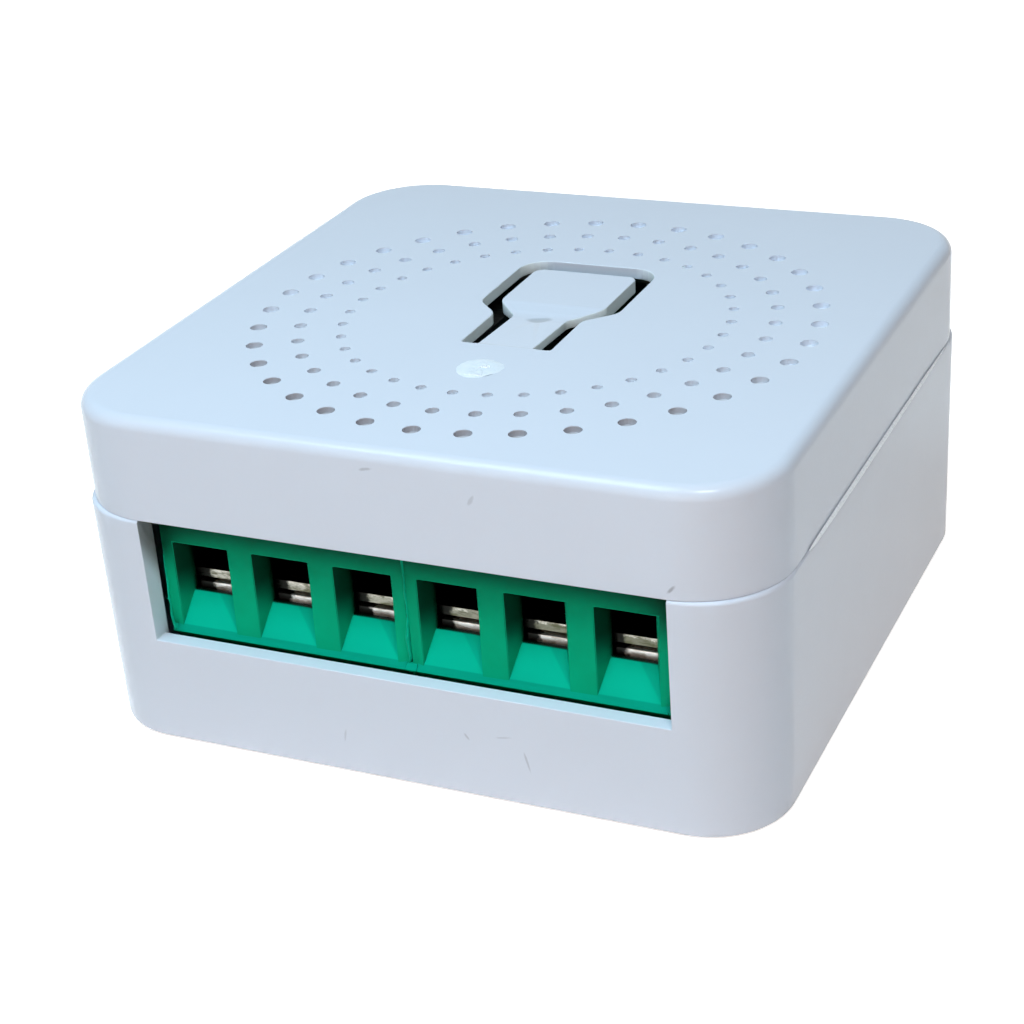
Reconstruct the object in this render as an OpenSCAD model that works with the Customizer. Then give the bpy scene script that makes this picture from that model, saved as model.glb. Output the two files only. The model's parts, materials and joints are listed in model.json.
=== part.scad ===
// Smart relay module: a snap-together housing with a sprung button tongue in its cover, two
// terminal blocks with rising-cage wire clamps, and the relay, radio and supply on one board.
// The origin is the centre of the underside, +Z is up, and the terminals face -Y.

/* [Housing] */
// Width and depth of the housing at its split
body_w = 41.4; // [41:0.1:60]
// Plan radius of the base's corners
corner_r = 4.8; // [4:0.1:7]
// Plan radius of the cover's corners
cover_corner_r = 5.2; // [4:0.1:7]
// How far the cover stands back from the base all round
cover_step = 0.06; // [0:0.01:0.15]
// Thickness of the side walls
wall = 1.05; // [0.9:0.05:1.3]
// Thickness of the base's floor
floor_t = 1.3; // [1:0.1:2.5]
// Thickness of the cover's top
top_t = 1.4; // [1.2:0.1:2.5]
// Radius of the cover's top edge
top_fillet = 0.75; // [0.3:0.05:0.8]
// Radius of the base's bottom edge
foot_fillet = 0.35; // [0.1:0.05:0.45]
// How far the base narrows from its split to its floor
base_draft = 0.14; // [0:0.02:0.3]
// Chamfer on the base's upper rim
rim_chamfer = 0.12; // [0.05:0.01:0.2]
// Thickness of the front wall beside the terminals
jamb_t = 1.4; // [1.3:0.05:1.45]
// Width of that thicker wall on each side
jamb_w = 1.2; // [0.8:0.1:2]
// Radius of the posts that carry the board
post_r = 1.3; // [1:0.1:1.6]
// Distance of the rear posts from the board's edges
post_edge = 0.95; // [0.5:0.05:1.5]
// Distance of the front posts behind the terminals' face
front_post_back = 7; // [5:0.5:9]
// Radius of the pins that hold the board down
hold_pin_r = 1.1; // [0.8:0.1:1.4]

/* [Snap tabs] */
// Width of a snap tab
tab_w = 6; // [4:0.5:8]
// Thickness of a snap tab
tab_t = 0.8; // [0.6:0.05:1]
// Length of a snap tab below the split
tab_reach = 3; // [2.4:0.1:4]
// How far a barb stands out of its tab
barb = 0.35; // [0.2:0.05:0.5]
// Height of a barb
barb_h = 0.8; // [0.5:0.1:1]
// Place of the side tabs behind the middle
tab_y = 2; // [-1:0.5:3]

/* [Dots and button] */
// Place of the rosette's centre across the cover
rose_x = 0.57; // [-1:0.01:1]
// Place of the rosette's centre along the cover
rose_y = -1.3; // [-2:0.1:1]
// Number of dots in each ring
dot_count = 36; // [24:1:48]
// Radii of the rings of dots
ring_r = [16.4, 13.9, 11.4]; // [10:0.1:17]
// Diameters of the dots, ring by ring
dot_d = [1, 0.77, 0.62]; // [0.4:0.01:1.2]
// Depth of the dots
dot_depth = 0.35; // [0.2:0.05:0.6]
// Place of the button beside the rosette's centre
button_dx = 0.05; // [-0.5:0.05:0.5]
// Width of the button's pad
pad_w = 6.64; // [5:0.1:8]
// Front edge of the pad, behind the rosette's centre
pad_front = 2.1; // [1.6:0.1:3]
// Back edge of the pad, behind the rosette's centre
pad_back = 7.6; // [6.5:0.1:8.5]
// Width of the button's neck
neck_w = 3.4; // [2.5:0.1:4.5]
// Root of the neck, in front of the rosette's centre
neck_root = 4.65; // [3.5:0.05:6]
// Thickness of the neck
neck_t = 0.55; // [0.4:0.05:0.7]
// How far the neck dips below the cover's top in front of the pad
neck_dip = 0.24; // [0:0.02:0.4]
// Foot of the slope up to the pad, behind the start of the shoulders
slope_start = 0.4; // [0.2:0.05:0.8]
// Radius at the foot and the top of that slope
slope_r = 3; // [1:0.5:4]
// Diameter of the dish in the neck
dish_d = 1.3; // [0.8:0.1:1.6]
// Depth of that dish
dish_depth = 0.07; // [0.03:0.01:0.12]
// Place of that dish behind the rosette's centre
dish_y = 0.15; // [-0.5:0.05:0.5]
// Thickness of the pad
pad_t = 0.83; // [0.6:0.01:1.2]
// How far the pad lies below the cover's top
pad_drop = 0.06; // [0:0.01:0.3]
// Radius of the pad's back corners
pad_r = 0.6; // [0.2:0.1:1]
// Radius at the ends of the sloping shoulders
bend_r = 1.2; // [0.2:0.1:2]
// Radius in the corners at the neck's root
root_r = 0.25; // [0.1:0.05:0.4]
// Width of the slot round the button
slot_gap = 1.06; // [0.6:0.01:1.2]
// Width of the slot behind the pad
slot_back = 1.27; // [0.6:0.01:1.5]
// Thickness of the cover round the slot
slot_lip = 0.7; // [0.6:0.05:1]
// How far the cover is thinned round the slot
slot_relief = 1.2; // [0.6:0.1:1.6]
// Diameter of the moulding gate's mark
gate_d = 2.4; // [1.5:0.1:3]
// Depth of the gate's mark
gate_depth = 0.12; // [0.05:0.01:0.3]
// Place of the gate's mark, in front of the rosette's centre
gate_y = 8; // [7:0.1:9]
// Radius of the post under the pad
press_post_r = 1; // [0.6:0.1:1.2]
// Length of the post under the pad
press_post = 1.15; // [0.5:0.05:1.5]

/* [Terminal blocks] */
// Distance between neighbouring poles
pitch = 5.08; // [5:0.02:5.2]
// Number of poles in each block
ways = 3; // [2:1:3]
// Depth of a block from front to back
block_d = 10.2; // [9.6:0.1:11]
// How far the blocks' face lies behind the housing's front
face_setback = 1.55; // [1.4:0.05:2]
// Width of the seam between the blocks
block_seam = 0.06; // [0.02:0.01:0.2]
// Gap between the blocks and the housing's opening
opening_gap = 0.26; // [0.1:0.02:0.4]
// How far the opening's ledge lies below the funnels
ledge_drop = 0.45; // [0.3:0.05:0.8]
// Width of a funnel at the face
funnel_w = 3.54; // [3.2:0.02:3.8]
// Depth of a funnel and its ramp
funnel_d = 0.85; // [0.7:0.05:1.2]
// Top of a funnel at the face, below the board
funnel_top = 1.9; // [1.4:0.1:2]
// Foot of a funnel's ramp at the face, below the board
funnel_foot = 7.1; // [6.6:0.1:7.4]
// Sill of the wire holes, below the board
sill_drop = 5.28; // [5:0.02:5.5]
// Width of a wire hole
hole_w = 2.64; // [2.4:0.02:3]
// Wall between a funnel and its cage's chamber
hole_wall = 0.4; // [0.3:0.05:0.9]
// How far the lip under the ribs stands out
lip_d = 0.2; // [0.1:0.02:0.3]
// Height of that lip's front edge
lip_edge = 0.05; // [0.02:0.01:0.1]
// How far a block's lower front stands back under the lip
step_d = 0.35; // [0.2:0.05:0.5]
// Height over which it steps back
step_h = 0.6; // [0.4:0.05:1]
// Chamfer on a block's lower edges
block_chamfer = 0.6; // [0.3:0.05:0.8]
// How far the lip stops short of a block's ends
lip_inset = 0.3; // [0.1:0.05:0.6]

/* [Wire clamps] */
// Radius of a clamp screw's thread
screw_r = 1.25; // [1:0.05:1.3]
// Radius of a clamp screw's head
head_r = 1.9; // [1.7:0.05:2]
// Height of a clamp screw's head
head_h = 1.2; // [1:0.1:1.6]
// Width of the slot in a head
drive_w = 0.6; // [0.4:0.1:0.8]
// Depth of the slot in a head
drive_d = 0.6; // [0.4:0.1:0.8]
// Width of a cage
cage_w = 3.8; // [3.6:0.05:4]
// Depth of a cage
cage_d = 5; // [4.2:0.1:5.4]
// Thickness of a cage's side walls
cage_t = 0.45; // [0.3:0.05:0.5]
// Thickness of a cage's clamping plate
plate_t = 0.56; // [0.4:0.01:0.7]
// Thickness of a cage's threaded floor
thread_t = 0.9; // [0.7:0.1:1.2]
// Number of grooves across the clamping plate
teeth = 5; // [3:1:6]
// Depth of the teeth in the clamping plate
tooth_d = 0.14; // [0.05:0.01:0.2]
// How far a contact bar stands above the sill
bar_rise = 0.4; // [0.2:0.05:0.5]
// Thickness of a contact bar
bar_t = 0.7; // [0.5:0.05:0.9]
// Width of a contact bar
bar_w = 2.4; // [1.8:0.1:2.5]
// How far a contact bar reaches behind its cage's chamber
bar_tail = 1.3; // [1.1:0.1:1.6]
// Gap between clamping plate and bar as the module is supplied
rest_gap = 0.26; // [0.2:0.01:0.6]
// Gap between clamping plate and bar with the screw home
closed_gap = 0.07; // [0.05:0.01:0.2]
// How far a cage rises from the supplied place to fully open
open_rise = 1.9; // [1:0.1:2]
// Thickness of the rim that holds a screw in its block
rim_t = 0.75; // [0.5:0.05:1.2]
// Radius of the driver hole in that rim
driver_r = 1.6; // [1.4:0.05:1.7]
// Height of the driver guides between the floor and the blocks
guide_h = 2.1; // [0.8:0.1:3]
// Radius of the driver guides' bores
access_r = 1.8; // [1.7:0.05:2]
// Wall of a driver guide
guide_t = 0.6; // [0.4:0.05:0.65]

/* [Board and its parts] */
// Thickness of the board
board_t = 1.6; // [1:0.1:2]
// Gap between the board and the snap tabs
board_gap = 0.3; // [0.1:0.05:0.5]
// Gap between the tallest parts and the floor
floor_gap = 0.5; // [0.2:0.1:1]
// Gap between the parts at the rim and the board's edge
edge_gap = 0.4; // [0.2:0.1:0.8]
// Corner radius of the board
board_r = 3; // [1:0.5:5]
// Width and depth of the relay
relay_size = [17.6, 10.1]; // [8:0.1:18]
// How far the relay's header plate stands back under its case
header_step = 0.3; // [0.1:0.05:0.6]
// Height of the relay's header plate
header_t = 0.9; // [0.5:0.1:1.5]
// Width, depth and thickness of the radio board
radio_size = [12.8, 14.2, 0.8]; // [0.6:0.1:16]
// Distance between the solder notches along the radio board's edges
pad_pitch = 2; // [1.2:0.1:2.5]
// Radius of those notches
pad_notch_r = 0.35; // [0.2:0.05:0.5]
// Width, depth and height of the radio's shield
shield_size = [10.4, 11.6, 1.7]; // [1.2:0.1:14]
// Wall of the radio's shield
shield_t = 0.2; // [0.15:0.05:0.3]
// Width of the push switch
switch_w = 4.5; // [3.5:0.1:5]
// Height of the push switch's case
switch_h = 2; // [1.5:0.1:3]
// Radius of the push switch's plunger
plunger_r = 1.2; // [0.8:0.1:1.4]
// Depth of the well that the plunger slides in
well_d = 0.6; // [0.5:0.05:1]
// How far the plunger reaches into its well
plunger_in = 0.2; // [0.1:0.02:0.22]
// Height of the plunger above its case
plunger_h = 0.5; // [0.4:0.05:1]
// Width, depth and height of the indicator lamp
lamp_size = [3.2, 2.8, 1.6]; // [1:0.1:4]
// Height of the lamp's lens above its case
lens_h = 0.4; // [0.1:0.1:0.6]
// How far the lens stands back from the lamp's sides
lens_step = 0.3; // [0.1:0.1:0.6]
// Radius of the mains capacitor
bulk_r = 3.2; // [2.5:0.1:3.4]
// Radius of the low-voltage capacitor
output_r = 2.5; // [2:0.1:2.6]
// Length of the low-voltage capacitor
output_l = 9; // [6:0.5:11]
// Radius of the crimp round the capacitors' necks
crimp_r = 0.35; // [0.2:0.05:0.5]
// Distance of the crimp from the board
crimp_drop = 1.6; // [1:0.1:2.5]
// Radius of the inductor
coil_r = 3; // [2.5:0.1:3.4]
// Length of the inductor
coil_l = 9.5; // [6:0.5:11]
// Thickness of the inductor's flanges
flange_t = 1.4; // [0.8:0.1:2]
// How far the winding stands back from the flanges
flange_step = 0.5; // [0.2:0.1:0.8]
// Radius of the varistor's disc
varistor_r = 3.6; // [2.5:0.1:3.8]
// Thickness of the varistor's disc
varistor_t = 3.4; // [2.5:0.1:3.6]
// Radius of the fuse resistor
fuse_r = 1.7; // [1.2:0.1:1.9]
// Length of the fuse resistor
fuse_l = 8; // [6:0.5:8.5]
// Length of the fuse resistor's end caps
cap_l = 2; // [1.2:0.1:2.6]
// How far the middle stands back from the end caps
cap_step = 0.25; // [0.1:0.05:0.4]
// Width, depth and height of the bridge rectifier
rectifier_size = [4.7, 3.9, 2.4]; // [1:0.1:6]
// Width, depth and height of the supply chip
chip_size = [4.9, 3.9, 1.5]; // [1:0.1:6]
// Width, depth and height of the voltage regulator
regulator_size = [6.5, 3.5, 1.7]; // [1:0.1:7]
// Width, depth and height of an optocoupler
opto_size = [4.4, 4.2, 2.1]; // [1:0.1:5]
// Width of the chips' legs
leg_w = 0.5; // [0.3:0.05:0.7]
// Thickness of the chips' legs
leg_t = 0.2; // [0.15:0.05:0.3]
// How far the chips' legs reach out
leg_out = 0.9; // [0.6:0.1:1.2]
// Gap between the chips and the board
chip_stand = 0.1; // [0.05:0.05:0.2]
// Corner radius of the chips
chip_r = 0.15; // [0.05:0.05:0.3]
// Corner radius of the larger parts
part_r = 0.5; // [0.3:0.1:0.8]
// Radius of thick leads
lead_r = 0.45; // [0.3:0.05:0.5]
// How far leads stand out above the board
lead_out = 0.7; // [0.3:0.1:1]

/* [Clearances] */
// Gap between pieces that are fitted together
fit_gap = 0.1; // [0.05:0.01:0.15]
// Gap between pieces that slide on each other
slide_gap = 0.12; // [0.08:0.01:0.2]
// Radial clearance of a screw in its cage
thread_gap = 0.06; // [0.02:0.01:0.1]
// Gap between the button's post and the plunger
press_gap = 0.05; // [0.03:0.01:0.1]
// Radial clearance of the plunger in its case
plunger_gap = 0.08; // [0.04:0.01:0.1]
// Gap between parts on the board
part_gap = 0.8; // [0.4:0.1:1]

/* [Hidden] */
$fn = 72;
// Overlap that joins solids or carries a cut through a face
lap = 0.2;

poles = 2 * ways;
half = body_w / 2;
cover_half = half - cover_step;
inner_half = half - wall;
edge_r = min(top_fillet, wall - lap);

// Wire clamp stack, as drops below the board
bar_top = sill_drop - bar_rise;
bar_under = bar_top + bar_t;
plate_under = bar_top - rest_gap;
plate_top = plate_under - plate_t;
close_drop = rest_gap - closed_gap;
thread_top = bar_under + fit_gap / 2 + open_rise;
thread_under = thread_top + thread_t;
head_top = thread_under + close_drop + fit_gap;
head_under = head_top + head_h;
rim_top = head_under + fit_gap / 2;
block_h = rim_top + rim_t;
chamber_top = plate_top - open_rise - slide_gap;

// Heights of the housing, from the stack of what it holds
block_z = floor_t + guide_h;
base_h = block_z + block_h;
board_top = base_h + board_t;
plunger_top = board_top + switch_h + plunger_h;
pad_under = plunger_top + press_gap + press_post;
body_h = pad_under + pad_t + pad_drop;
top_under = body_h - top_t;

// Terminal places
block_w = ways * pitch;
opening_w = 2 * (block_w + opening_gap);
opening_h = funnel_foot + ledge_drop;
face_y = face_setback - half;
block_back = face_y + block_d;
chamber_front = funnel_d + hole_wall;
cage_front = chamber_front + slide_gap;
cage_mid = cage_front + cage_d / 2;
chamber_back = cage_front + cage_d + slide_gap;
bar_back = chamber_back + bar_tail;
pin_y = bar_back - lead_r - fit_gap;
chamber_w = cage_w + 2 * slide_gap;
screw_y = face_y + cage_mid;
function pole_x(i) = (i - (poles + 1) / 2) * pitch;

// Housing places
tab_out = inner_half - fit_gap;
tab_in = tab_out - tab_t;
tab_places = [[0, tab_y], [90, 0], [180, -tab_y]];
barb_z = base_h - tab_reach + lap;
board_half = tab_in - board_gap;
rear_post = board_half - post_r - post_edge;
front_post = block_w + part_gap + post_r;
front_post_y = face_y + front_post_back;
post_places = [[rear_post, rear_post], [-rear_post, rear_post],
               [front_post, front_post_y], [-front_post, front_post_y]];

// Button places
button_x = rose_x + button_dx;
hinge_y = rose_y - neck_root;
post_y = rose_y + (pad_front + pad_back) / 2;
hinge_relief = 0.04;
shoulder_y = pad_front - (pad_w - neck_w) / 2;
slope_foot = shoulder_y + slope_start;
dish_dip = neck_dip * (neck_root + dish_y) / (neck_root + slope_foot);
dish_r = (dish_d * dish_d / 4 + dish_depth * dish_depth) / (2 * dish_depth);
// Number of edges that stand for the arc round a corner
arc_steps = 6;

// Places of the parts on the board, and the distance of the relay's rows of pins from its middle
relay_row = 3.8;
relay_at = [-3.7, board_half - edge_gap - relay_size[1] / 2];
bulk_at = [relay_at[0] + relay_size[0] / 2 + part_gap + bulk_r, board_half - edge_gap - bulk_r];
output_at = [board_half - edge_gap - output_r, 5.9];
coil_at = [board_half - part_gap - coil_r, -2.6];
switch_right = button_x + switch_w / 2;
varistor_at = [switch_right + part_gap + varistor_t / 2, 1.9];
fuse_at = [3.45, block_back + part_gap + fuse_r];
rectifier_at = [-12.6, 2.6];
chip_at = [-12.8, -3.4];
regulator_at = [-5.8, block_back + part_gap + regulator_size[1] / 2 + leg_out];
opto_at = [[-6.6, 2.5], [-0.9, 2.5]];
lamp_at = [varistor_at[0] + lead_r + part_gap + lamp_size[0] / 2, post_y];
radio_at = [switch_right - switch_w - part_gap - radio_size[0] / 2,
            relay_at[1] - relay_row - lead_r - part_gap - radio_size[1] / 2];
relay_h = base_h - floor_t - floor_gap - header_t;
bulk_l = base_h - floor_t - 2 * floor_gap;
relay_pins = [for (p = [[-7.4, 1], [-7.4, -1], [1.4, 1], [6.8, 1], [6.8, -1]])
                  relay_at + [p[0], p[1] * relay_row]];
bulk_pins = [for (s = [-1.75, 1.75]) bulk_at + [s, 0]];
output_pins = [for (s = [-1.25, 1.25]) output_at + [0, s]];
coil_pins = [for (s = [-2, 2]) coil_at + [s, 0]];
varistor_pins = [for (s = [-2.2, 2.2]) varistor_at + [0, s]];
fuse_pins = [for (s = [-1, 1]) fuse_at + [s * (fuse_l / 2 + 1), 0]];
contact_pins = [for (i = [1:poles]) [pole_x(i), face_y + pin_y]];
board_holes = concat(relay_pins, bulk_pins, output_pins, coil_pins, varistor_pins, fuse_pins, contact_pins);

// A square outline with round corners
module rounded_square(reach, r) {
    square([2 * reach, 2 * (reach - r)], center = true);
    square([2 * (reach - r), 2 * reach], center = true);
    for (x = [-1, 1], y = [-1, 1])
        translate([x, y] * (reach - r)) circle(r);
}

// Sweeps a wall profile round a rounded square: the profile is drawn from the corners' centres
module sweep_square(reach, r) {
    straight = 2 * (reach - r);
    for (turn = [0:90:270])
        rotate(turn) {
            translate([reach - r, reach - r, 0]) rotate_extrude(angle = 90) children();
            translate([reach - r, straight / 2, 0]) rotate([90, 0, 0]) linear_extrude(straight) children();
        }
}

// A rectangle with round corners, standing on z = 0
module rounded_block(size, r) {
    linear_extrude(size[2]) {
        square([size[0], size[1] - 2 * r], center = true);
        square([size[0] - 2 * r, size[1]], center = true);
        for (x = [-1, 1], y = [-1, 1])
            translate([x * (size[0] / 2 - r), y * (size[1] / 2 - r)]) circle(r);
    }
}

// Puts a side profile, drawn as depth and height, through a width centred on x = 0
module across(width) {
    translate([-width / 2, 0, 0]) rotate([90, 0, 90]) linear_extrude(width) children();
}

// Wall of the base from its foot to its rim
module base_wall_profile() {
    out = corner_r - base_draft;
    polygon([[corner_r - wall, 0], [out - foot_fillet, 0], [out, foot_fillet],
             [corner_r, base_h - rim_chamfer], [corner_r - rim_chamfer, base_h], [corner_r - wall, base_h]]);
    translate([out - foot_fillet, foot_fillet]) circle(foot_fillet);
}

// Wall of the cover from the split to its rounded top edge
module cover_wall_profile() {
    translate([cover_corner_r - wall, base_h]) square([wall, body_h - edge_r - base_h]);
    translate([cover_corner_r - wall, base_h]) square([wall - edge_r, body_h - base_h]);
    translate([cover_corner_r - edge_r, body_h - edge_r])
        intersection() {
            circle(edge_r);
            square(edge_r);
        }
}

// Points along the arc that rounds the corner between two straight edges
function unit(v) = v / norm(v);
function rounded_corner(before, corner, after, r) =
    let (u = unit(before - corner), v = unit(after - corner), half_angle = acos(u * v) / 2,
         centre = corner + unit(u + v) * r / sin(half_angle),
         first = corner + u * r / tan(half_angle) - centre,
         last = corner + v * r / tan(half_angle) - centre,
         turn = 180 - 2 * half_angle)
    [for (k = [0:arc_steps])
        let (share = turn * k / arc_steps)
        centre + (first * sin(turn - share) + last * sin(share)) / sin(turn)];

// Right half of the button's outline, from the neck's root to the pad's back. Grown, it is the
// slot's edge: the tongue flares out at its root, where the slot's own corners turn inwards
function key_side(grow, grow_back) =
    let (neck = neck_w / 2 + grow, pad = pad_w / 2 + grow, shift = (sqrt(2) - 1) * grow,
         root = [neck, -neck_root], beside_root = root + [grow > 0 ? -1 : 1, 0],
         shoulder = [neck, shoulder_y - shift], front = [pad, pad_front - shift],
         back = [pad, pad_back + grow_back], back_middle = [0, pad_back + grow_back])
    concat(rounded_corner(beside_root, root, shoulder, root_r),
           rounded_corner(root, shoulder, front, bend_r),
           rounded_corner(shoulder, front, back, bend_r),
           rounded_corner(front, back, back_middle, pad_r + grow));

// Outline of the button tongue, or of the slot round it when grown by a gap
module key_outline(grow, grow_back) {
    side = key_side(grow, grow_back);
    polygon(concat(side, [for (k = [len(side) - 1:-1:0]) [-side[k][0], side[k][1]]]));
}

// Side profile of the tongue: flush root, dipping neck, slope up to the level pad
module tongue_profile() {
    root = [-neck_root, body_h];
    foot = [slope_foot, body_h - neck_dip];
    rise = [pad_front, body_h - pad_drop];
    back = [pad_back, body_h - pad_drop];
    polygon(concat([root],
                   rounded_corner(root, foot, rise, slope_r),
                   rounded_corner(foot, rise, back, slope_r),
                   [back, [pad_back, pad_under], [pad_front, pad_under], [slope_foot, foot[1] - neck_t],
                    [neck_t - neck_root, body_h - neck_t], [hinge_relief - neck_root, body_h - neck_t]]));
}

// Snap tab with its barb, on the +X wall
module snap_tab() {
    translate([tab_in, -tab_w / 2, base_h - tab_reach]) cube([tab_t, tab_w, tab_reach + tab_t]);
    translate([tab_in, -tab_w / 2, base_h + fit_gap])
        cube([cover_half - wall + lap - tab_in, tab_w, 2 * tab_t]);
    translate([tab_out, tab_w / 2, barb_z])
        rotate([90, 0, 0]) linear_extrude(tab_w)
            polygon([[-lap, 0], [0, 0], [barb, barb_h - lap], [barb, barb_h], [-lap, barb_h]]);
}

module base_shell() {
    color("WhiteSmoke")
        difference() {
            union() {
                sweep_square(half, corner_r) base_wall_profile();
                linear_extrude(floor_t) rounded_square(half - wall / 2, corner_r - wall / 2);
                for (i = [1:poles])
                    translate([pole_x(i), screw_y, 0])
                        cylinder(r = access_r + guide_t, h = block_z - fit_gap);
                for (p = post_places)
                    translate(p) cylinder(r = post_r, h = base_h);
                for (side = [-1, 1])
                    translate([side * (opening_w + jamb_w) / 2 - jamb_w / 2, wall / 2 - half, floor_t - lap])
                        cube([jamb_w, jamb_t - wall / 2, base_h - floor_t + lap]);
            }
            translate([-opening_w / 2, -half - lap, base_h - opening_h])
                cube([opening_w, wall + 2 * lap, opening_h + lap]);
            for (i = [1:poles])
                translate([pole_x(i), screw_y, -lap]) cylinder(r = access_r, h = block_z + 2 * lap);
            for (t = tab_places)
                rotate(t[0]) translate([inner_half - lap, t[1] - tab_w / 2 - fit_gap, barb_z - fit_gap])
                    cube([barb + lap, tab_w + 2 * fit_gap, barb_h + 2 * fit_gap]);
        }
}

module top_cover() {
    plate_reach = (wall + edge_r) / 2;
    color("White")
        difference() {
            union() {
                sweep_square(cover_half, cover_corner_r) cover_wall_profile();
                translate([0, 0, top_under])
                    linear_extrude(top_t)
                        rounded_square(cover_half - plate_reach, cover_corner_r - plate_reach);
                for (p = post_places)
                    translate([p[0], p[1], board_top])
                        cylinder(r = hold_pin_r, h = top_under + lap - board_top);
                for (t = tab_places)
                    rotate(t[0]) translate([0, t[1], 0]) snap_tab();
            }
            translate([button_x, rose_y, top_under - lap]) {
                linear_extrude(top_t + 2 * lap) key_outline(slot_gap, slot_back);
                linear_extrude(top_t - slot_lip + lap)
                    key_outline(slot_gap + slot_relief, slot_back + slot_relief);
            }
            for (k = [0:len(ring_r) - 1], n = [0:dot_count - 1])
                translate([rose_x, rose_y, body_h - dot_depth])
                    rotate(n * 360 / dot_count) translate([ring_r[k], 0, 0])
                        cylinder(d = dot_d[k], h = dot_depth + lap, $fn = 24);
            translate([rose_x, rose_y - gate_y, body_h - gate_depth])
                cylinder(d = gate_d, h = gate_depth + lap);
        }
}

module button_tongue() {
    color("White")
        translate([button_x, rose_y, 0]) {
            difference() {
                intersection() {
                    translate([0, 0, pad_under]) linear_extrude(body_h - pad_under) key_outline(0, 0);
                    across(pad_w + 2 * lap) tongue_profile();
                }
                translate([-button_dx, dish_y, body_h - dish_dip - dish_depth + dish_r]) sphere(dish_r);
            }
            translate([0, (pad_front + pad_back) / 2, plunger_top + press_gap])
                cylinder(r = press_post_r, h = press_post + lap);
        }
}

// Plastic housing of a block: front face at y = 0, board side at z = 0, centred on x = 0
module block_housing() {
    lip_drop = lip_d * (funnel_foot - sill_drop) / funnel_d;
    lip_foot = funnel_foot + lip_drop;
    step_z = lip_foot + step_h;
    edge = block_chamfer;
    width = block_w - block_seam;
    difference() {
        union() {
            across(width)
                polygon([[0, 0], [0, -lip_foot], [step_d, -step_z], [step_d, edge - block_h],
                         [step_d + edge, -block_h], [block_d - edge, -block_h], [block_d, edge - block_h],
                         [block_d, 0]]);
            across(width - 2 * lip_inset)
                polygon([[0, -funnel_foot], [-lip_d, -lip_foot], [-lip_d, -lip_foot - lip_edge],
                         [lap, lap - step_z], [lap, -funnel_foot]]);
        }
        for (i = [1:ways])
            translate([(i - (ways + 1) / 2) * pitch, 0, 0]) pole_cavity();
    }
}

// Everything that is hollow in one pole: funnel, wire hole, cage chamber, screw well and contact seat
module pole_cavity() {
    intersection() {
        translate([0, 0, -block_h])
            linear_extrude(block_h)
                polygon([[-funnel_w / 2, -lap], [funnel_w / 2, -lap], [funnel_w / 2, 0],
                         [hole_w / 2, funnel_d], [-hole_w / 2, funnel_d], [-funnel_w / 2, 0]]);
        across(funnel_w + lap)
            polygon([[-lap, -funnel_top], [0, -funnel_top], [funnel_d, -chamber_top], [funnel_d, -sill_drop],
                     [0, -funnel_foot], [-lap, -funnel_foot]]);
    }
    translate([-hole_w / 2, funnel_d - lap, -sill_drop])
        cube([hole_w, chamber_front - funnel_d + 2 * lap, sill_drop - chamber_top]);
    translate([-chamber_w / 2, chamber_front, -head_top + fit_gap / 2])
        cube([chamber_w, chamber_back - chamber_front, head_top - fit_gap / 2 - chamber_top]);
    translate([0, cage_mid, -rim_top]) cylinder(r = head_r + fit_gap, h = rim_top - thread_under);
    translate([0, cage_mid, -block_h - lap]) cylinder(r = driver_r, h = rim_t + 2 * lap);
    translate([-bar_w / 2 - fit_gap, chamber_back - lap, -bar_under - fit_gap])
        cube([bar_w + 2 * fit_gap, bar_back + fit_gap - chamber_back + lap, bar_t + 2 * fit_gap]);
    translate([0, pin_y, -bar_under]) cylinder(r = lead_r + fit_gap, h = bar_under + lap);
}

module terminal_block(side) {
    color("SeaGreen")
        translate([side * block_w / 2, face_y, base_h]) block_housing();
}

// Bars that the wires are clamped on, each with its pin up through the board
module terminal_contacts() {
    color("Silver")
        for (i = [1:poles])
            translate([pole_x(i), face_y, base_h]) {
                translate([-bar_w / 2, cage_front - fit_gap / 2, -bar_under])
                    cube([bar_w, bar_back - cage_front + fit_gap / 2, bar_t]);
                translate([0, pin_y, -bar_top - lap])
                    cylinder(r = lead_r, h = bar_top + lap + board_t + lead_out);
            }
}

module clamp_screw(i) {
    color("LightGray")
        translate([pole_x(i), screw_y, base_h])
            difference() {
                union() {
                    translate([0, 0, -head_under]) cylinder(r = head_r, h = head_h);
                    translate([0, 0, -head_top - lap])
                        cylinder(r = screw_r, h = head_top + lap - bar_under - fit_gap / 2);
                }
                translate([-head_r - lap, -drive_w / 2, -head_under - lap])
                    cube([2 * (head_r + lap), drive_w, drive_d + lap]);
            }
}

// Rising cage: a threaded floor, two side walls and a toothed clamping plate
module wire_cage(i) {
    inside = cage_w - 2 * cage_t;
    tooth_step = cage_d / teeth;
    color("Gainsboro")
        translate([pole_x(i), face_y + cage_front, base_h])
            difference() {
                translate([-cage_w / 2, 0, -thread_under]) cube([cage_w, cage_d, thread_under - plate_top]);
                translate([-inside / 2, -lap, -thread_top])
                    cube([inside, cage_d + 2 * lap, thread_top - plate_under]);
                translate([0, cage_d / 2, -thread_under - lap])
                    cylinder(r = screw_r + thread_gap, h = thread_t + 2 * lap);
                for (k = [1:teeth])
                    translate([0, (k - 0.5) * tooth_step, -plate_under])
                        across(inside)
                            polygon([[-tooth_d, -lap], [tooth_d, -lap], [tooth_d, 0], [0, tooth_d],
                                     [-tooth_d, 0]]);
            }
}

module circuit_board() {
    color("DarkGreen")
        translate([0, 0, base_h])
            difference() {
                linear_extrude(board_t) rounded_square(board_half, board_r);
                for (p = board_holes)
                    translate([p[0], p[1], -lap]) cylinder(r = lead_r + fit_gap, h = board_t + 2 * lap);
            }
}

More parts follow.
